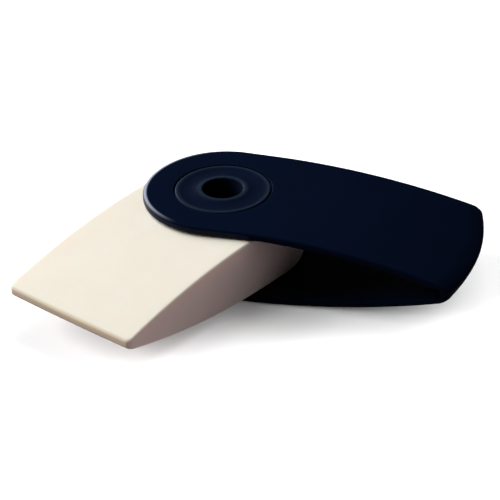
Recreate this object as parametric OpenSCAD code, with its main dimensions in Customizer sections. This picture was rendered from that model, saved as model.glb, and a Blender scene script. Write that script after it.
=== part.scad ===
// Pocket eraser in a swivel sleeve, millimetres.
// The origin is on the swivel axis, midway between the two cheeks of the sleeve.
// X runs from the swivel axis to the closed end of the sleeve, Z runs up along the axis.

/* [Sleeve] */
// Radius of the round end about the swivel axis
sleeve_end_r = 15.2; // [14.5:0.1:16.5]
// Distance from the swivel axis to the closed end
sleeve_reach = 49.4; // [47:0.1:54]
// Distance from the swivel axis to the narrowest place of the long sides
waist_x = 21; // [16:0.5:26]
// How far each long side draws in at the waist
waist_depth = 0.3; // [0.15:0.05:0.6]
// Radius of the two corners of the closed end, seen from above
sleeve_corner_r = 1.2; // [1:0.1:3]
// Thickness over both cheeks at the swivel axis
sleeve_t = 14.8; // [14.2:0.1:17]
// Thickness of the nose at the closed end
nose_t = 1.44; // [1.3:0.02:1.8]
// Length of the flat part of the cheeks on the closed side of the axis
sleeve_flat = 6; // [5:0.5:8]
// Length of the flat part of the cheeks on the round side of the axis
sleeve_back_flat = 8; // [4:0.5:12]
// Depth taken off each curved face to leave the flat land round the hub
land_cut = 0.02; // [0.01:0.01:0.05]
// Rounding of the outer edges of the sleeve
sleeve_edge_r = 0.5; // [0.3:0.05:0.6]
// Length of the rounding of the closed end, along the sleeve
nose_round = 3; // [1:0.1:3.4]
// Share of the nose's height taken up by that rounding at its middle
nose_round_share = 0.8; // [0.4:0.05:0.85]
// Wall of each cheek around the swivel axis
cheek_t = 1.4; // [1.2:0.05:1.8]
// Wall of each cheek along the open long sides
rim_wall = 1.3; // [1:0.05:1.35]
// Wall of the closed end, along the sleeve
end_wall = 3.6; // [2.8:0.1:4]
// Height of the slot at the closed end
slot_end_t = 2.2; // [2:0.05:2.3]

/* [Eraser] */
// How far the heel and the sides stay inside the round end of the sleeve
eraser_setback = 0; // [-0.1:0.05:0.4]
// How far each side draws in from the heel to the tip
eraser_taper = 0.1; // [0.1:0.05:0.5]
// Thickness of the tip
tip_t = 1.75; // [1.3:0.05:1.8]
// Radius of the gently bowed tip edge, seen from above
tip_bow_r = 600; // [200:50:1200]
// Radius of the two corners of the tip, seen from above
eraser_corner_r = 1.2; // [1:0.1:3]
// Rounding of the edges of the eraser
eraser_edge_r = 0.55; // [0.3:0.05:0.6]
// How much shorter the flat part of the eraser is than that of the cheeks
eraser_flat_cut = 0.4; // [0:0.1:1]
// Angle the eraser is swung out of the sleeve
open_angle = 113.7; // [60:0.1:180]

/* [Hub] */
// Radius of the hub hole in each cheek
hub_hole_r = 9.4; // [8.8:0.1:10.4]
// Radius of the hole through the hub
hub_bore_r = 3.85; // [3.6:0.05:4.1]
// Radius of the hub tube in the eraser
hub_tube_r = 6.2; // [6:0.05:6.6]
// Radius of the lower end of the hub tube, which takes the ring
hub_neck_r = 5.1; // [5:0.05:5.25]
// Rounding of the rims of the hub
hub_rim_r = 0.3; // [0.2:0.05:0.35]
// Width of the groove that sets the hub face off from the cheek
groove_w = 0.22; // [0.1:0.02:0.3]
// Depth of that groove
groove_d = 0.5; // [0.4:0.05:0.7]
// Depth of the shallow dish in each hub face
dish_depth = 0.25; // [0.1:0.05:0.4]
// Width of the plain rim outside the dish
dish_rim = 0.45; // [0.4:0.05:0.8]
// Width of the lip between the bore and the dish
dish_lip = 0.65; // [0.4:0.05:0.8]
// How far the rim of the upper hub face stands above the cheek
rim_rise = 0.05; // [0:0.01:0.15]
// How far the lip round the bore stands above that rim
lip_rise = 0.15; // [0:0.05:0.3]
// Height of the snap bead on the hub tube
bead_h = 0.2; // [0.1:0.02:0.24]
// Radius of the snap bead's round back
bead_r = 0.4; // [0.3:0.02:0.44]
// Depth of the ring's collar in the eraser
collar_h = 1.6; // [1:0.1:3]

/* [Fits] */
// Gap between the eraser and each cheek
cheek_gap = 0.15; // [0.1:0.05:0.3]
// Gap between the corners of the tip and the closed end as the eraser swings
tip_gap = 0.4; // [0.4:0.1:2]
// Running clearance of the hub in its holes, on the radius
hub_gap = 0.08; // [0.04:0.02:0.1]
// Clearance of the tube in the eraser and of the ring on the tube, on the radius
tube_gap = 0.02; // [0.01:0.01:0.04]
// How far the lower hub face lies below the cheek face
hub_sink = 0.05; // [0.02:0.01:0.2]
// Depth of the seats cut for the hub in the eraser
hub_seat = 0.1; // [0.06:0.02:0.2]
// Chamfer at the mouth of each hub hole
hole_chamfer = 0.15; // [0.1:0.05:0.4]

/* [Hidden] */
$fn = 96;
// Overshoot that lets a cut pass through a face
over = 1;
// Steps along each arc of an outline: closed end, corner, long side, round end
arc_steps = [10, 8, 18, 28];
// Steps round an outer edge
edge_steps = 5;
// Steps along the profiles of the space inside the sleeve
swing_steps = 24;

// Half heights of the sleeve, the eraser and the space it swings in
sleeve_half = sleeve_t / 2;
eraser_half = sleeve_half - cheek_t - cheek_gap;
tip_half = tip_t / 2;

// Plan sizes of the eraser, taken from the space inside the sleeve
heel_r = sleeve_end_r - eraser_setback;
tip_half_w = heel_r - eraser_taper;
slot_end = sleeve_reach - end_wall;
eraser_reach = sqrt((slot_end - tip_gap) ^ 2 - tip_half_w ^ 2);
eraser_flat = sleeve_flat - eraser_flat_cut;

// Plan of a block: [heel radius, waist x, waist half width, reach, end radius, corner radius]
sleeve_plan = [sleeve_end_r, waist_x, sleeve_end_r - waist_depth,
    sleeve_reach, sleeve_reach, sleeve_corner_r];
eraser_plan = [heel_r, eraser_reach, tip_half_w, eraser_reach, tip_bow_r, eraser_corner_r];

// Side of a block: [half height, flat length, flat length at the heel, radius of the curved faces]
sleeve_side = [sleeve_half + land_cut, sleeve_flat, sleeve_back_flat,
    fall_radius(sleeve_reach - sleeve_flat, sleeve_half + land_cut - nose_t / 2)];
eraser_side = [eraser_half, eraser_flat, heel_r,
    fall_radius(eraser_reach - eraser_flat, eraser_half - tip_half)];

// Edges of a block: [rounding, its length at the closed end, share of the height it takes there]
sleeve_edge = [sleeve_edge_r, nose_round, nose_round_share];
eraser_edge = [eraser_edge_r, eraser_edge_r, eraser_edge_r / tip_half];

// Half heights of the space inside the sleeve at the swivel axis and at the closed end
slot_half = eraser_half + cheek_gap;
slot_tip_half = max(slot_end_t / 2, tip_half + cheek_gap);

// Hub levels above and below the middle plane and hub radii
hub_rim_z = sleeve_half + rim_rise;
hub_lip_z = hub_rim_z + lip_rise;
hub_foot = sleeve_half - hub_sink;
hub_base = eraser_half - hub_seat;
hub_r = hub_hole_r - hub_gap;
collar_base = hub_base - collar_h;
bead_z = (hub_foot + hub_base) / 2;

// Radius of an arc that starts level and falls by drop over run
function fall_radius(run, drop) = (run ^ 2 + drop ^ 2) / (2 * drop);

// Half height of a block at the distance x from the swivel axis
function side_half(side, x) =
    let (past = max(x - side[1], -x - side[2], 0))
    side[0] - side[3] + sqrt(side[3] ^ 2 - past ^ 2);

// Points of an arc after its first point
function arc_points(centre, radius, from, to, steps) =
    [for (i = [1:steps]) let (a = from + (to - from) * i / steps)
        centre + radius * [cos(a), sin(a)]];

// Upper half of a plan outline from the closed end to the round end, drawn in by inset,
// and by end_inset at the closed end
function half_outline(plan, inset, end_inset) =
    let (
        waist_r = (plan[1] ^ 2 + plan[2] ^ 2 - plan[0] ^ 2) / (2 * (plan[0] - plan[2])),
        waist_c = [plan[1], plan[2] + waist_r],
        end_c = [plan[3] - plan[4], 0],
        span = norm(waist_c - end_c),
        along = (waist_c - end_c) / span,
        end_arm = plan[4] - end_inset - plan[5] + inset,
        step = (end_arm ^ 2 - (waist_r + plan[5]) ^ 2 + span ^ 2) / (2 * span),
        corner_c = end_c + step * along + sqrt(end_arm ^ 2 - step ^ 2) * [along.y, -along.x],
        end_a = atan2(corner_c.y - end_c.y, corner_c.x - end_c.x),
        side_a = atan2(waist_c.y - corner_c.y, waist_c.x - corner_c.x),
        heel_a = atan2(waist_c.y, waist_c.x)
    )
    concat(
        [[plan[3] - end_inset, 0]],
        arc_points(end_c, plan[4] - end_inset, 0, end_a, arc_steps[0]),
        arc_points(corner_c, plan[5] - inset, end_a, side_a, arc_steps[1]),
        arc_points(waist_c, waist_r + inset, side_a + 180, heel_a + 180, arc_steps[2]),
        arc_points([0, 0], plan[0] - inset, heel_a, 180, arc_steps[3])
    );

// Share of the closed end's rounding at point i of an outline, which fades round the corner
function end_part(i) = 1 - min(1, i / (arc_steps[0] + arc_steps[1])) ^ 2;

// Ring of points round a block at one step of the edge rounding, on the upper or lower side
function edge_ring(plan, side, edge, turn, up) =
    let (
        half = half_outline(plan, edge[0] * (1 - cos(turn)), edge[1] * (1 - cos(turn))),
        last = len(half) - 1
    )
    [for (j = [0:2 * last - 1])
        let (
            i = j <= last ? j : 2 * last - j,
            p = half[i],
            high = side_half(side, p.x),
            depth = end_part(i) * edge[2] * high + (1 - end_part(i)) * edge[0]
        )
        [p.x, j <= last ? p.y : -p.y, up * (high - depth * (1 - sin(turn)))]];

// Block with a lens-shaped side and rounded edges
module lens_block(plan, side, edge) {
    turns = [for (k = [edge_steps:-1:0]) 90 * k / edge_steps];
    rings = concat(
        [for (t = turns) edge_ring(plan, side, edge, t, 1)],
        [for (k = [len(turns) - 1:-1:0]) edge_ring(plan, side, edge, turns[k], -1)]
    );
    count = len(rings[0]);
    half = count / 2;
    base = (len(rings) - 1) * count;
    walls = [for (k = [0:len(rings) - 2], j = [0:count - 1])
        let (a = k * count + j, b = k * count + (j + 1) % count)
        each [[a, b, b + count], [a, b + count, a + count]]];
    caps = [for (j = [0:half - 1])
        let (a = j, b = j + 1, c = count - j - 1, d = (count - j) % count)
        each [
            if (b != c) [a, c, b],
            if (a != d) [a, d, c],
            if (b != c) [base + a, base + b, base + c],
            if (a != d) [base + a, base + c, base + d]
        ]];
    polyhedron(points = [for (r = rings) each r], faces = concat(walls, caps), convexity = 4);
}

// Closed profile from its upper half, mirrored below the middle plane
module both_halves(upper) {
    polygon(concat(upper, [for (i = [len(upper) - 1:-1:0]) [upper[i].x, -upper[i].y]]));
}

// Space the eraser sweeps through, a turned form about the swivel axis
module swing_space() {
    rotate_extrude()
        both_halves(concat(
            [[0, slot_half]],
            [for (i = [0:swing_steps]) let (x = eraser_reach * i / swing_steps)
                [norm([x, heel_r]), side_half(eraser_side, x) + cheek_gap]]
        ));
}

// Slot right through from side to side, which leaves an even wall along the rims
module side_slot() {
    back = -sleeve_end_r - over;
    rotate([90, 0, 0])
        linear_extrude(2 * sleeve_reach, center = true)
            both_halves([for (i = [0:swing_steps]) let (x = back + (slot_end - back) * i / swing_steps)
                [x, max(slot_tip_half, min(slot_half, side_half(sleeve_side, x) - rim_wall))]]);
}

// Hub hole through one cheek with a chamfered mouth
module hub_hole() {
    cylinder(r = hub_hole_r, h = sleeve_half + over);
    translate([0, 0, sleeve_half - hole_chamfer])
        cylinder(r1 = hub_hole_r, r2 = hub_hole_r + hole_chamfer + over, h = hole_chamfer + over);
}

// One-piece moulded sleeve: two cheeks joined at the closed end
module sleeve() {
    color([0.05, 0.08, 0.16])
        difference() {
            intersection() {
                lens_block(sleeve_plan, sleeve_side, sleeve_edge);
                cube([2 * sleeve_reach + over, 2 * sleeve_reach, sleeve_t], center = true);
            }
            swing_space();
            side_slot();
            hub_hole();
            mirror([0, 0, 1]) hub_hole();
        }
}

// Eraser block with its bore and the two seats for the hub
module eraser_block() {
    color([0.94, 0.91, 0.86])
        rotate([0, 0, -open_angle])
            difference() {
                lens_block(eraser_plan, eraser_side, eraser_edge);
                cylinder(r = hub_tube_r + tube_gap, h = sleeve_t, center = true);
                for (up = [0, 1])
                    mirror([0, 0, up])
                        translate([0, 0, hub_base])
                            cylinder(r = hub_r + hub_gap, h = sleeve_half);
            }
}

// Half section of a flange: running shoulder, set-in face with a rounded rim, shallow dish
module flange_section(inner_r, dish_start, lip_z, rim_z) {
    face_r = hub_r - groove_w;
    lip_edge = [dish_start, lip_z];
    rim_edge = [face_r - dish_rim, rim_z];
    dish_half = norm(rim_edge - lip_edge) / 2;
    dish_r = fall_radius(dish_half, dish_depth);
    across = (rim_edge - lip_edge) / (2 * dish_half);
    dish_c = (lip_edge + rim_edge) / 2 + (dish_r - dish_depth) * [-across.y, across.x];
    rim_x = face_r - hub_rim_r;
    difference() {
        union() {
            translate([inner_r, hub_base])
                square([hub_r - inner_r, rim_z - groove_d - hub_base]);
            translate([inner_r, hub_base])
                square([face_r - inner_r, rim_z - hub_rim_r - hub_base]);
            translate([rim_x, rim_z - hub_rim_r])
                circle(r = hub_rim_r);
            polygon([[inner_r, hub_base], [rim_x, hub_base], [rim_x, rim_z],
                rim_edge, lip_edge, [inner_r, lip_z]]);
        }
        translate(dish_c)
            circle(r = dish_r);
    }
}

// Rounded mouth of the bore at a hub face, as a cut
module bore_mouth(face) {
    difference() {
        translate([0, face - hub_rim_r])
            square([hub_bore_r + hub_rim_r, hub_rim_r + over]);
        translate([hub_bore_r + hub_rim_r, face - hub_rim_r])
            circle(r = hub_rim_r);
    }
}

// Upper hub half: flange, tube through the eraser, neck with a snap bead
module hub_bush() {
    color([0.07, 0.11, 0.2])
        rotate_extrude()
            difference() {
                union() {
                    flange_section(hub_bore_r, hub_bore_r + dish_lip, hub_lip_z, hub_rim_z);
                    translate([hub_bore_r, -collar_base])
                        square([hub_tube_r - hub_bore_r, collar_base + hub_base]);
                    translate([hub_bore_r, -hub_foot])
                        square([hub_neck_r - hub_bore_r, hub_foot]);
                    translate([hub_neck_r + bead_h - bead_r, -bead_z])
                        circle(r = bead_r);
                }
                bore_mouth(hub_lip_z);
                mirror([0, 1]) bore_mouth(hub_foot);
            }
}

// Lower hub half: flange with a collar that snaps onto the neck of the bush
module hub_ring() {
    neck_hole_r = hub_neck_r + tube_gap;
    color([0.07, 0.11, 0.2])
        rotate_extrude()
            mirror([0, 1])
                difference() {
                    union() {
                        flange_section(neck_hole_r, neck_hole_r, hub_foot, hub_foot);
                        translate([neck_hole_r, collar_base + tube_gap])
                            square([hub_tube_r - neck_hole_r, hub_base - collar_base]);
                    }
                    translate([hub_neck_r + bead_h - bead_r, bead_z])
                        circle(r = bead_r + tube_gap);
                }
}

sleeve();
eraser_block();
hub_bush();
hub_ring();
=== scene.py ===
from collections import namedtuple
from math import atan2, cos, pi, radians, sin, sqrt

import bmesh
import bpy
from mathutils import Matrix, Vector


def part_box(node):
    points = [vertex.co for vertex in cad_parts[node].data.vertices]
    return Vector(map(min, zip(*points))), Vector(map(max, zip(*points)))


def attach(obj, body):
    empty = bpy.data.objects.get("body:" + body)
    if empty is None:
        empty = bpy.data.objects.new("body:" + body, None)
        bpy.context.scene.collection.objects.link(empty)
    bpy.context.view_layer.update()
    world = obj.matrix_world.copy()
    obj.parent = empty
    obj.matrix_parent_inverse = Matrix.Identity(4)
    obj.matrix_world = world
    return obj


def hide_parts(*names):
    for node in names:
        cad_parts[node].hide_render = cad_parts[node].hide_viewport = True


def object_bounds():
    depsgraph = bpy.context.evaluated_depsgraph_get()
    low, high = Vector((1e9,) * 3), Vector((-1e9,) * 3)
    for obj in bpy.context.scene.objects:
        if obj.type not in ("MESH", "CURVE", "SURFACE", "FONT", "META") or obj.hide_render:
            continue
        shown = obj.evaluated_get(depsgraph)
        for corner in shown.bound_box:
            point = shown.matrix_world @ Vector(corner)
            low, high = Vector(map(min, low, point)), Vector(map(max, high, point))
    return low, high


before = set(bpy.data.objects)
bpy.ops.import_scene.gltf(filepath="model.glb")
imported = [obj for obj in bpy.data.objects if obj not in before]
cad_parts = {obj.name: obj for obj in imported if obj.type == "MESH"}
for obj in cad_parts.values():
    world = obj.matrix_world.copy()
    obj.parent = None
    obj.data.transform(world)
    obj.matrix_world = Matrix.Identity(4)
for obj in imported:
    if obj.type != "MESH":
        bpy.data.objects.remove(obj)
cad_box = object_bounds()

# Pocket eraser in a swivel sleeve. Metres, in the frame of the solids: the origin is on the
# swivel axis midway between the cheeks, X runs to the closed end of the sleeve, Z runs up.
MM = 0.001

# Outline seen from above, side profile and edge rounding of a block
Plan = namedtuple("Plan", "heel_r waist reach end_r corner_r")
Side = namedtuple("Side", "half flat back_flat curve_r")
Edge = namedtuple("Edge", "radius end_length end_share")

# Fits between the eraser, the sleeve and the hub
CHEEK_GAP = 0.15 * MM
TIP_GAP = 0.4 * MM
HUB_GAP = 0.08 * MM
TUBE_GAP = 0.02 * MM
HUB_SEAT = 0.1 * MM
# Hair's breadth by which the smooth outlines stay inside the faceted solids
EASE = 0.015 * MM

# Sizes of the sleeve. The waist is the narrowest place of its plan and the nose its closed end.
# The flats run from the swivel axis to where the faces start to fall
sleeve_low, sleeve_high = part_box("sleeve")
SLEEVE_END_R = -sleeve_low[0]
SLEEVE_REACH = sleeve_high[0]
SLEEVE_HALF = sleeve_high[2]
WAIST = Vector((21 * MM, SLEEVE_END_R - 0.3 * MM))
SLEEVE_CORNER_R = 1.2 * MM
NOSE_HALF = 0.72 * MM
SLEEVE_FLAT = 6 * MM
SLEEVE_BACK_FLAT = 8 * MM
LAND_CUT = 0.02 * MM
SLEEVE_EDGE = Edge(radius=0.5 * MM, end_length=3 * MM, end_share=0.8)
CHEEK_T = 1.4 * MM
RIM_WALL = 1.3 * MM
SLOT_END = SLEEVE_REACH - 3.6 * MM
SLOT_END_HALF = 1.1 * MM
LIP_R = 0.2 * MM
MOUTH_R = 0.06 * MM
# Share of the nose's height under its edge rounding that the mesh splits into even steps
EVEN_SHARE = 0.9

# Sizes of the eraser
HEEL_R = SLEEVE_END_R
TIP_HALF_W = HEEL_R - 0.1 * MM
TIP_HALF = 0.875 * MM
TIP_BOW_R = 600 * MM
ERASER_CORNER_R = 1.2 * MM
ERASER_EDGE_R = 0.55 * MM
ERASER_FLAT = SLEEVE_FLAT - 0.4 * MM
ERASER_HALF = SLEEVE_HALF - CHEEK_T - CHEEK_GAP
ERASER_REACH = sqrt((SLOT_END - TIP_GAP) ** 2 - TIP_HALF_W ** 2)
ERASER_EDGE = Edge(ERASER_EDGE_R, ERASER_EDGE_R, ERASER_EDGE_R / TIP_HALF)
OPEN_ANGLE = radians(113.7)

# Sizes of the hub
HUB_HOLE_R = 9.4 * MM
HUB_R = HUB_HOLE_R - HUB_GAP
HUB_FACE_R = HUB_R - 0.22 * MM
HUB_RIM_Z = SLEEVE_HALF + 0.05 * MM
HUB_LIP_Z = HUB_RIM_Z + 0.15 * MM
HUB_FOOT = SLEEVE_HALF - 0.05 * MM
HUB_BASE = ERASER_HALF - HUB_SEAT
HUB_BORE_R = 3.85 * MM
HUB_TUBE_R = 6.2 * MM
HUB_NECK_R = 5.1 * MM
COLLAR_BASE = HUB_BASE - 1.6 * MM
HUB_RIM_R = 0.3 * MM
GROOVE_D = 0.5 * MM
DISH_DEPTH = 0.25 * MM
DISH_RIM_R = HUB_FACE_R - 0.45 * MM
DISH_LIP_R = HUB_BORE_R + 0.65 * MM

# Bands of painted highlight on round rims as (radius, half width), and where along X the sleeve's fades out
SLEEVE_HIGHLIGHT_HALF = 0.45 * MM
SLEEVE_HIGHLIGHT_BANDS = [(SLEEVE_END_R - SLEEVE_HIGHLIGHT_HALF, SLEEVE_HIGHLIGHT_HALF)]
SLEEVE_HIGHLIGHT_FADE = (-14 * MM, -4.5 * MM)
HUB_HIGHLIGHT_HALF = 0.8 * MM
HUB_HIGHLIGHT_BANDS = [(HUB_BORE_R + 0.5 * MM, HUB_HIGHLIGHT_HALF), (HUB_FACE_R - 0.3 * MM, HUB_HIGHLIGHT_HALF)]

# Steps along the four arcs of a plan
END_STEPS = 30
CORNER_STEPS = 24
SIDE_STEPS = 64
HEEL_STEPS = 60
# Steps of the roundings, the faces and the turned pieces
EDGE_STEPS = 7
LIP_STEPS = 4
TOP_RINGS = 24
ROOF_RINGS = 18
ROUND_STEPS = 180
DISH_STEPS = 14
HUB_RIM_STEPS = 5

# Distance under which points are one, area under which a face is none, angle of a sharp edge
WELD = 0.001 * MM
SLIVER = 0.0001 * MM ** 2
SHARP = radians(35)

# Studio: half width of the floor, distance of the lamps, strength of the world
FLOOR_HALF = 2.0
LAMP_DISTANCE = 0.9
WORLD_STRENGTH = 0.02
# Table lights as (turn and rise in degrees, share of the floor's white), each a broad sun
TABLE_LIGHTS = ((180, 25, 0.48), (225, 25, 0.39), (0, 25, 0.21), (45, 25, 0.19), (45, 45, 0.32),
                (90, 45, 0.21))
TABLE_LIGHT_SPREAD = radians(35)
# Camera of the photograph, worked out from the object's edges in it; lens and sensor in mm
CAMERA_PLACE = (111.118 * MM, -339.51 * MM, 209.122 * MM)
CAMERA_TURN = (radians(58.8961), radians(1.3118), radians(16.5573))
CAMERA_LENS = 156.0
CAMERA_SENSOR = 36


def fall_radius(run, drop):
    """Radius of an arc that starts level and falls by drop over run."""
    return (run ** 2 + drop ** 2) / (2 * drop)


SLEEVE_TOP = SLEEVE_HALF + LAND_CUT
SLEEVE_PLAN = Plan(SLEEVE_END_R, WAIST, SLEEVE_REACH, SLEEVE_REACH, SLEEVE_CORNER_R)
SLEEVE_SIDE = Side(SLEEVE_TOP, SLEEVE_FLAT, SLEEVE_BACK_FLAT,
                   fall_radius(SLEEVE_REACH - SLEEVE_FLAT, SLEEVE_TOP - NOSE_HALF))
TIP_CORNER = Vector((ERASER_REACH, TIP_HALF_W))
ERASER_PLAN = Plan(HEEL_R, TIP_CORNER, ERASER_REACH, TIP_BOW_R, ERASER_CORNER_R)
ERASER_SIDE = Side(ERASER_HALF, ERASER_FLAT, HEEL_R,
                   fall_radius(ERASER_REACH - ERASER_FLAT, ERASER_HALF - TIP_HALF))


def height(side, x):
    """Half height of a block at the distance x from the swivel axis."""
    past = max(x - side.flat, -x - side.back_flat, 0)
    return side.half - side.curve_r + sqrt(side.curve_r ** 2 - past ** 2)


def cheek_height(x):
    """Height of the upper cheek's outer face, with the flat land round the hub."""
    return min(SLEEVE_HALF, height(SLEEVE_SIDE, x))


def roof_height(spot):
    """Height of the space inside the sleeve: it clears the swinging eraser and thins the rims."""
    reach = min(sqrt(max(spot.length_squared - HEEL_R ** 2, 0)), ERASER_REACH)
    swing = height(ERASER_SIDE, reach) + CHEEK_GAP
    slot = min(ERASER_HALF + CHEEK_GAP, height(SLEEVE_SIDE, spot.x) - RIM_WALL)
    return max(swing, slot, SLOT_END_HALF)


def level(point, z):
    """Point of a plan lifted to a height."""
    return Vector((point.x, point.y, z))


def arc(centre, radius, start, end, steps, bulge=1):
    """Points of an arc after its first one, each with its outward normal."""
    turns = [start + (end - start) * i / steps for i in range(1, steps + 1)]
    ways = [Vector((cos(a), sin(a))) for a in turns]
    return [(centre + radius * way, bulge * way) for way in ways]


def half_plan(plan, inset=0, end_inset=0):
    """Half of a plan outline, drawn in, from the middle of the closed end to that of the heel."""
    waist_r = (plan.waist.length_squared - plan.heel_r ** 2) / (2 * (plan.heel_r - plan.waist.y))
    waist_c = plan.waist + Vector((0, waist_r))
    end_c = Vector((plan.reach - plan.end_r, 0))
    span = (waist_c - end_c).length
    along = (waist_c - end_c) / span
    end_arm = plan.end_r - end_inset - plan.corner_r + inset
    step = (end_arm ** 2 - (waist_r + plan.corner_r) ** 2 + span ** 2) / (2 * span)
    corner_c = end_c + step * along + sqrt(end_arm ** 2 - step ** 2) * Vector((along.y, -along.x))
    end_a = atan2(corner_c.y, corner_c.x - end_c.x)
    side_a = atan2(waist_c.y - corner_c.y, waist_c.x - corner_c.x)
    heel_a = atan2(waist_c.y, waist_c.x)
    points = [(Vector((plan.reach - end_inset, 0)), Vector((1, 0)))]
    points += arc(end_c, plan.end_r - end_inset, 0, end_a, END_STEPS)
    points += arc(corner_c, plan.corner_r - inset, end_a, side_a, CORNER_STEPS)
    points += arc(waist_c, waist_r + inset, side_a + pi, heel_a + pi, SIDE_STEPS, -1)
    points += arc(Vector((0, 0)), plan.heel_r - inset, heel_a, pi, HEEL_STEPS)
    return points


def edge_rings(plan, side, edge):
    """Half outlines down a rounded edge, from the upper face to the wall.

    At the closed end the rounding has its own length and share of the height."""
    rings = []
    for k in range(EDGE_STEPS, -1, -1):
        turn = pi / 2 * k / EDGE_STEPS
        back = 1 - cos(turn)
        fall = 1 - sin(turn)
        ring = []
        points = half_plan(plan, EASE + edge.radius * back, EASE + edge.end_length * back)
        for i, (point, _) in enumerate(points):
            part = 1 - min(1, i / (END_STEPS + CORNER_STEPS)) ** 2
            top = height(side, point.x)
            depth = part * edge.end_share * top + (1 - part) * edge.radius
            ring.append(level(point, min(top - depth * fall, SLEEVE_HALF)))
        rings.append(ring)
    return rings


def turned(section, steps):
    """Bmesh of an open section, a list of (radius, height), turned about Z.

    The layer station keeps each point's place in the section."""
    bm = bmesh.new()
    station = bm.verts.layers.int.new("station")
    chain = []
    for place, (radius, z) in enumerate(section):
        point = bm.verts.new((radius, 0, z))
        point[station] = place
        chain.append(point)
    edges = [bm.edges.new(pair) for pair in zip(chain, chain[1:])]
    bmesh.ops.spin(bm, geom=chain + edges, cent=(0, 0, 0), axis=(0, 0, 1), angle=2 * pi,
                   steps=steps, use_merge=True)
    return bm, station


def draw_out(half_rays):
    """Turn a plain drum, draw its rays out to those of an upper half, and mirror it below.

    The rays run from the closed end to the heel; those of the other side are mirrored."""
    mirrored = [[Vector((p.x, -p.y, p.z)) for p in ray] for ray in half_rays[-2:0:-1]]
    rays = half_rays + mirrored
    bm, station = turned([(1, place) for place in range(len(rays[0]))], len(rays))
    for vert in bm.verts:
        turn = atan2(vert.co.y, vert.co.x) / (2 * pi) * len(rays)
        vert.co = rays[round(turn) % len(rays)][vert[station]]
    bmesh.ops.remove_doubles(bm, verts=bm.verts, dist=WELD)
    bmesh.ops.delete(bm, geom=[f for f in bm.faces if f.calc_area() < SLIVER], context="FACES")
    bmesh.ops.mirror(bm, geom=bm.verts[:] + bm.edges[:] + bm.faces[:], axis="Z", merge_dist=WELD)
    return bm


def round_rims(bm, station, places):
    """Close a turned section and round its edges at these places of the section."""
    rims = [e for place in places for e in bm.edges if all(v[station] == place for v in e.verts)]
    bmesh.ops.remove_doubles(bm, verts=bm.verts, dist=WELD)
    bmesh.ops.bevel(bm, geom=[e for e in rims if e.is_valid], offset=HUB_RIM_R, offset_type="OFFSET",
                    affect="EDGES", segments=HUB_RIM_STEPS, profile=0.5, material=-1, clamp_overlap=False)


def finish_piece(name, bm, body, material, node):
    """Shade a mesh smooth between its sharp edges and hang it on its body."""
    bm.normal_update()
    bmesh.ops.recalc_face_normals(bm, faces=bm.faces)
    for face in bm.faces:
        face.smooth = True
    for edge in bm.edges:
        edge.smooth = edge.calc_face_angle(0) < SHARP
    mesh = bpy.data.meshes.new(name)
    bm.to_mesh(mesh)
    bm.free()
    piece = bpy.data.objects.new(name, mesh)
    bpy.context.collection.objects.link(piece)
    mesh.materials.append(material)
    # The highest weight lets the large faces lead, so that they shade evenly up to the roundings
    normals = piece.modifiers.new("even_normals", "WEIGHTED_NORMAL")
    normals.weight = 100
    normals.keep_sharp = True
    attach(piece, body)
    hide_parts(node)
    return piece


def make_sleeve(material):
    """Two lens-curved cheeks joined at the closed end, open at the sides and the round end."""
    outline = half_plan(SLEEVE_PLAN, EASE, EASE)
    rings = edge_rings(SLEEVE_PLAN, SLEEVE_SIDE, SLEEVE_EDGE)
    split = next(i for i, (point, _) in enumerate(outline) if point.x <= SLOT_END)
    end_x = outline[split][0].x

    def ray(i, closed):
        """Section from the inner end over the roof, the hub hole and the top to the outer lip."""
        point, normal = outline[i]
        way = point.normalized()
        rim = [ring[i] for ring in rings]
        if closed:
            inner = way * (end_x / way.x)
            even = min(SLOT_END_HALF, EVEN_SHARE * rim[-1].z)
            points = [level(inner, SLOT_END_HALF * k / LIP_STEPS) for k in range(LIP_STEPS + 1)]
            last = [level(point, even * (1 - k / LIP_STEPS)) for k in range(LIP_STEPS + 1)]
        else:
            lip_r = LIP_R * min(1, (i - split) / LIP_STEPS)
            inner = point - lip_r * normal
            roof = roof_height(inner)
            points = [level(inner, roof)] * (LIP_STEPS + 1)
            last = []
            for k in range(LIP_STEPS + 1):
                turn = pi / 2 * k / LIP_STEPS
                spot = inner + lip_r * cos(turn) * normal
                last.append(level(spot, roof + lip_r * (1 - sin(turn))))
        hole = way * HUB_HOLE_R
        for k in range(1, ROOF_RINGS + 1):
            spot = inner.lerp(hole, k / ROOF_RINGS)
            points.append(level(spot, roof_height(spot)))
        for k in range(LIP_STEPS + 1):
            turn = pi / 2 * k / LIP_STEPS
            spot = hole + MOUTH_R * (1 - cos(turn)) * way
            points.append(level(spot, SLEEVE_HALF - MOUTH_R * (1 - sin(turn))))
        mouth = points[-1]
        for k in range(1, TOP_RINGS):
            spot = mouth.lerp(rim[0], k / TOP_RINGS)
            points.append(level(spot, cheek_height(spot.x)))
        return points + rim + last

    rays = [ray(i, True) for i in range(split + 1)]
    rays += [ray(i, False) for i in range(split, len(outline))]
    return finish_piece("sleeve_moulding", draw_out(rays), "sleeve", material, "sleeve")


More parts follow.
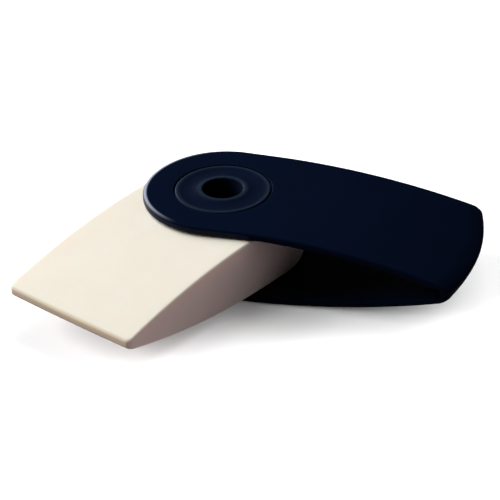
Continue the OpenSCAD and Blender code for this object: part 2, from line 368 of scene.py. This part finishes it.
def make_eraser(material):
    """Block with a round heel, a bore and seats for the hub, and a chisel tip."""
    rings = edge_rings(ERASER_PLAN, ERASER_SIDE, ERASER_EDGE)
    rays = []
    for i, rim_point in enumerate(rings[0]):
        way = Vector((rim_point.x, rim_point.y)).normalized()
        bore = way * (HUB_TUBE_R + TUBE_GAP)
        seat = way * HUB_HOLE_R
        seat_rim = level(seat, ERASER_HALF)
        points = [level(bore, 0), level(bore, HUB_BASE), level(seat, HUB_BASE), seat_rim]
        for k in range(1, TOP_RINGS):
            spot = seat_rim.lerp(rim_point, k / TOP_RINGS)
            points.append(level(spot, height(ERASER_SIDE, spot.x)))
        points += [ring[i] for ring in rings]
        rays.append(points + [level(points[-1], 0)])
    bm = draw_out(rays)
    swing = Matrix.Rotation(-OPEN_ANGLE, 3, "Z")
    bmesh.ops.rotate(bm, verts=bm.verts, cent=(0, 0, 0), matrix=swing)
    return finish_piece("eraser_moulding", bm, "eraser", material, "eraser_block")


def dish(lip_r, lip_z, rim_z):
    """Points of the shallow dish in a hub face, a parabola from the lip out to the rim."""
    lip = Vector((lip_r, lip_z))
    across = Vector((DISH_RIM_R, rim_z)) - lip
    down = Vector((across.y, -across.x)).normalized()
    shares = [k / DISH_STEPS for k in range(DISH_STEPS + 1)]
    return [tuple(lip + t * across + 4 * DISH_DEPTH * t * (1 - t) * down) for t in shares]


def make_hub_bush(material):
    """Upper hub half: dished flange, tube through the eraser and a plain neck below."""
    groove = HUB_RIM_Z - GROOVE_D
    section = [(HUB_BORE_R, -HUB_FOOT), (HUB_BORE_R, HUB_LIP_Z)]
    bore_foot, bore_lip = 0, 1
    section += dish(DISH_LIP_R, HUB_LIP_Z, HUB_RIM_Z)
    face_rim = len(section)
    section += [(HUB_FACE_R, HUB_RIM_Z), (HUB_FACE_R, groove), (HUB_R, groove), (HUB_R, HUB_BASE),
                (HUB_TUBE_R, HUB_BASE), (HUB_TUBE_R, -COLLAR_BASE), (HUB_NECK_R, -COLLAR_BASE),
                (HUB_NECK_R, -HUB_FOOT), (HUB_BORE_R, -HUB_FOOT)]
    bm, station = turned(section, ROUND_STEPS)
    round_rims(bm, station, (bore_foot, bore_lip, face_rim))
    return finish_piece("hub_bush_moulding", bm, "eraser", material, "hub_bush")


def make_hub_ring(material):
    """Lower hub half: dished flange with a collar on the neck of the bush."""
    neck = HUB_NECK_R + TUBE_GAP
    groove = HUB_FOOT - GROOVE_D
    collar = COLLAR_BASE + TUBE_GAP
    section = dish(neck, HUB_FOOT, HUB_FOOT)
    face_rim = len(section)
    section += [(HUB_FACE_R, HUB_FOOT), (HUB_FACE_R, groove), (HUB_R, groove), (HUB_R, HUB_BASE),
                (HUB_TUBE_R, HUB_BASE), (HUB_TUBE_R, collar), (neck, collar), (neck, HUB_FOOT)]
    bm, station = turned([(r, -z) for r, z in section], ROUND_STEPS)
    round_rims(bm, station, (face_rim,))
    return finish_piece("hub_ring_moulding", bm, "eraser", material, "hub_ring")


def linear(code):
    """Linear colour of an sRGB hex code."""
    parts = [int(code[i:i + 2], 16) / 255 for i in (0, 2, 4)]
    return tuple(p / 12.92 if p <= 0.04045 else ((p + 0.055) / 1.055) ** 2.4 for p in parts) + (1,)


def add(tree, kind, links, **settings):
    """Add a node with its settings; links gives each socket a value or another node's output."""
    new = tree.nodes.new(kind)
    for name, value in settings.items():
        setattr(new, name, value)
    for socket, source in links.items():
        if isinstance(source, bpy.types.NodeSocket):
            tree.links.new(source, new.inputs[socket])
        else:
            new.inputs[socket].default_value = source
    return new


def new_material(name):
    """Material without nodes, and its node tree."""
    material = bpy.data.materials.new(name)
    material.use_nodes = True
    material.node_tree.nodes.clear()
    return material, material.node_tree


def painted_highlight_mask(tree, place, rims, fade=None):
    """Share of painted highlight: 1 at the radius of each round rim, 0 beyond its half width.

    Where a fade is given, the painted highlight goes from full to none between its two places along X."""
    flat = add(tree, "ShaderNodeVectorMath", {0: place, 1: (1, 1, 0)}, operation="MULTIPLY").outputs[0]
    radius = add(tree, "ShaderNodeVectorMath", {0: flat}, operation="LENGTH").outputs["Value"]
    highlight_share = 0.0
    for rim_r, half_width in rims:
        off = add(tree, "ShaderNodeMath", {0: radius, 1: rim_r}, operation="SUBTRACT").outputs[0]
        off = add(tree, "ShaderNodeMath", {0: off}, operation="ABSOLUTE").outputs[0]
        band = add(tree, "ShaderNodeMapRange",
                   {"Value": off, "From Max": half_width, "To Min": 1.0, "To Max": 0.0},
                   interpolation_type="SMOOTHSTEP").outputs["Result"]
        highlight_share = add(tree, "ShaderNodeMath", {0: highlight_share, 1: band}, operation="MAXIMUM").outputs[0]
    if fade is None:
        return highlight_share
    along = add(tree, "ShaderNodeSeparateXYZ", {"Vector": place}).outputs["X"]
    share = add(tree, "ShaderNodeMapRange",
                {"Value": along, "From Min": fade[0], "From Max": fade[1], "To Min": 1.0, "To Max": 0.0},
                interpolation_type="SMOOTHSTEP").outputs["Result"]
    return add(tree, "ShaderNodeMath", {0: highlight_share, 1: share}, operation="MULTIPLY").outputs[0]


def moulded_plastic(name, dark, light, highlight_colour, rough, sheen, rims, fade=None):
    """Injection-moulded polystyrene: satin skin of a finely eroded mould with faint flow clouds,
    and a painted highlight, a paler colour, on bands along its round rims."""
    cloud_size = 9 * MM
    rough_spread = 0.04
    # The real grain is finer; it is drawn this coarse so that it shows close up
    grain_size = 0.12 * MM
    grain_depth = 0.012 * MM
    material, tree = new_material(name)
    place = add(tree, "ShaderNodeTexCoord", {}).outputs["Object"]
    clouds = add(tree, "ShaderNodeTexNoise", {"Vector": place, "Scale": 1 / cloud_size,
                                              "Detail": 3.0}).outputs["Fac"]
    plain = add(tree, "ShaderNodeMix", {"Factor": clouds, "A": linear(dark), "B": linear(light)},
                data_type="RGBA").outputs["Result"]
    highlight_share = painted_highlight_mask(tree, place, rims, fade)
    # The paler colour on the rim bands is a painted highlight
    colour = add(tree, "ShaderNodeMix", {"Factor": highlight_share, "A": plain, "B": linear(highlight_colour)}, data_type="RGBA")
    gloss = add(tree, "ShaderNodeMapRange", {"Value": clouds, "To Min": rough - rough_spread,
                                             "To Max": rough + rough_spread})
    grain = add(tree, "ShaderNodeTexNoise", {"Vector": place, "Scale": 1 / grain_size, "Detail": 2.0})
    bump = add(tree, "ShaderNodeBump", {"Height": grain.outputs["Fac"], "Strength": 0.2,
                                        "Distance": grain_depth})
    skin = add(tree, "ShaderNodeBsdfPrincipled", {
        "Base Color": colour.outputs["Result"], "Roughness": gloss.outputs["Result"],
        "Normal": bump.outputs["Normal"], "IOR": 1.5, "Specular IOR Level": sheen})
    add(tree, "ShaderNodeOutputMaterial", {"Surface": skin.outputs["BSDF"]})
    return material


def moulded_vinyl(name, dark, light, tip_tint):
    """Cream eraser vinyl: matt, slightly see-through at the edges, with a fine chalky grain,
    a shade yellower at the tip."""
    cloud_size = 7 * MM
    tip_length = 0.7 * MM
    # The real grain is finer; it is drawn this coarse so that it shows close up
    grain_size = 0.25 * MM
    grain_depth = 0.03 * MM
    # How deep light goes in, with the shares of red, green and blue
    light_depth = 2.5 * MM
    light_shares = (1.0, 0.45, 0.35)
    material, tree = new_material(name)
    place = add(tree, "ShaderNodeTexCoord", {}).outputs["Object"]
    clouds = add(tree, "ShaderNodeTexNoise", {"Vector": place, "Scale": 1 / cloud_size, "Detail": 4.0})
    plain = add(tree, "ShaderNodeMix", {"Factor": clouds.outputs["Fac"], "A": linear(dark),
                                        "B": linear(light)}, data_type="RGBA")
    lengthwise = (cos(OPEN_ANGLE), -sin(OPEN_ANGLE), 0)
    along = add(tree, "ShaderNodeVectorMath", {0: place, 1: lengthwise}, operation="DOT_PRODUCT")
    tip = add(tree, "ShaderNodeMapRange", {"Value": along.outputs["Value"], "From Max": ERASER_REACH,
                                           "From Min": ERASER_REACH - tip_length},
              interpolation_type="SMOOTHSTEP")
    colour = add(tree, "ShaderNodeMix", {"Factor": tip.outputs["Result"], "A": plain.outputs["Result"],
                                         "B": linear(tip_tint)}, data_type="RGBA")
    grain = add(tree, "ShaderNodeTexNoise", {"Vector": place, "Scale": 1 / grain_size, "Detail": 3.0})
    bump = add(tree, "ShaderNodeBump", {"Height": grain.outputs["Fac"], "Strength": 0.3,
                                        "Distance": grain_depth})
    skin = add(tree, "ShaderNodeBsdfPrincipled", {
        "Base Color": colour.outputs["Result"], "Roughness": 0.62, "Normal": bump.outputs["Normal"],
        "IOR": 1.52, "Subsurface Weight": 0.3, "Subsurface Radius": light_shares,
        "Subsurface Scale": light_depth})
    add(tree, "ShaderNodeOutputMaterial", {"Surface": skin.outputs["BSDF"]})
    return material


def make_floor():
    """Pale floor that shows white to the camera, keeps the shadow and throws back little light."""
    to_camera = linear("ffffff")
    thrown_back = linear("76676e")
    in_skins = linear("484848")
    material, tree = new_material("pale_floor")
    path = add(tree, "ShaderNodeLightPath", {}).outputs
    mirrored = add(tree, "ShaderNodeMath", {0: path["Is Glossy Ray"], 1: path["Is Transmission Ray"]},
                   operation="ADD", use_clamp=True).outputs[0]
    bounce = add(tree, "ShaderNodeMix", {"Factor": mirrored, "A": thrown_back, "B": in_skins},
                 data_type="RGBA").outputs["Result"]
    colour = add(tree, "ShaderNodeMix", {"Factor": path["Is Camera Ray"], "A": bounce, "B": to_camera},
                 data_type="RGBA").outputs["Result"]
    matt = add(tree, "ShaderNodeBsdfDiffuse", {"Color": colour})
    add(tree, "ShaderNodeOutputMaterial", {"Surface": matt.outputs["BSDF"]})
    bm = bmesh.new()
    bmesh.ops.create_grid(bm, x_segments=1, y_segments=1, size=FLOOR_HALF)
    bmesh.ops.translate(bm, verts=bm.verts, vec=(0, 0, cad_box[0][2]))
    mesh = bpy.data.meshes.new("floor")
    bm.to_mesh(mesh)
    bm.free()
    mesh.materials.append(material)
    floor = bpy.data.objects.new("floor", mesh)
    bpy.context.collection.objects.link(floor)
    return floor


def hang(lamp, turn, rise, lit):
    """Hang a lamp at a turn about Z from +X and a rise, in degrees, facing the swivel axis.

    It lights the lit objects alone."""
    flat = Vector((cos(radians(turn)), sin(radians(turn)), 0))
    way = cos(radians(rise)) * flat + Vector((0, 0, sin(radians(rise))))
    hung = bpy.data.objects.new(lamp.name, lamp)
    hung.location = way * LAMP_DISTANCE
    hung.rotation_euler = (-way).to_track_quat("-Z", "Y").to_euler()
    bpy.context.collection.objects.link(hung)
    receivers = bpy.data.collections.new(lamp.name + "_receivers")
    for thing in lit:
        receivers.objects.link(thing)
    hung.light_linking.receiver_collection = receivers
    return hung


def make_softbox(name, turn, rise, width, depth, watts, lit, tint="ffffff", mirrored=False):
    """Softbox that shades the lit pieces, or one that is only mirrored in their skins."""
    lamp = bpy.data.lights.new(name, "AREA")
    lamp.shape = "RECTANGLE"
    lamp.size = width
    lamp.size_y = depth
    lamp.energy = watts
    lamp.color = linear(tint)[:3]
    hung = hang(lamp, turn, rise, lit)
    hung.visible_diffuse = not mirrored
    hung.visible_glossy = mirrored


def make_table_light(turn, rise, share, floor):
    """Broad low light on the floor alone, which gives that share of its white."""
    lamp = bpy.data.lights.new("table_light", "SUN")
    lamp.angle = TABLE_LIGHT_SPREAD
    lamp.energy = share * pi / sin(radians(rise))
    hang(lamp, turn, rise, [floor])


def make_world():
    """Dim even light from all round."""
    world = bpy.data.worlds.new("dim_studio")
    world.use_nodes = True
    sky = world.node_tree.nodes["Background"].inputs
    sky["Color"].default_value = linear("ffffff")
    sky["Strength"].default_value = WORLD_STRENGTH
    bpy.context.scene.world = world


def make_camera():
    """Camera of the photograph."""
    view = bpy.data.cameras.new("camera")
    view.sensor_width = CAMERA_SENSOR
    view.lens = CAMERA_LENS
    camera = bpy.data.objects.new("camera", view)
    camera.location = CAMERA_PLACE
    camera.rotation_euler = CAMERA_TURN
    bpy.context.collection.objects.link(camera)
    bpy.context.scene.camera = camera


# The pale band on the sleeve's round-end rim is a painted highlight in place of the reflection on its
# rounding, fading out along the side
navy = moulded_plastic("moulded_navy_polystyrene", dark="060f20", light="071126", highlight_colour="a4a8ba",
                       rough=0.24, sheen=0.05, rims=SLEEVE_HIGHLIGHT_BANDS, fade=SLEEVE_HIGHLIGHT_FADE)
# The paler bands at the hub's bore lip and face rim are painted highlights
hub_blue = moulded_plastic("moulded_dark_blue_polystyrene", dark="081022", light="0a142a", highlight_colour="1d2939",
                           rough=0.4, sheen=0.06, rims=HUB_HIGHLIGHT_BANDS)
vinyl = moulded_vinyl("moulded_cream_vinyl", dark="f1e9d9", light="f6f0e3", tip_tint="ecdfc2")
sleeve = make_sleeve(navy)
eraser = make_eraser(vinyl)
hub = [make_hub_bush(hub_blue), make_hub_ring(hub_blue)]
pieces = [sleeve, eraser] + hub

# The floor and the pieces have lamps of their own, so that a white floor puts no more light on them
floor = make_floor()
for turn, rise, share in TABLE_LIGHTS:
    make_table_light(turn, rise, share, floor)
make_softbox("key_softbox", turn=170, rise=33, width=1.1, depth=0.6, watts=11.3, lit=pieces)
make_softbox("top_softbox", turn=163, rise=60, width=0.6, depth=0.6, watts=4.0, lit=pieces)
make_softbox("side_softbox", turn=10, rise=12, width=1.0, depth=0.5, watts=1.6, lit=[eraser], tint="fff1f8")
make_softbox("white_panel", turn=148, rise=10, width=0.8, depth=0.3, watts=3.0, lit=[sleeve] + hub,
             mirrored=True)
make_world()
make_camera()
bpy.context.scene.view_settings.view_transform = "Standard"
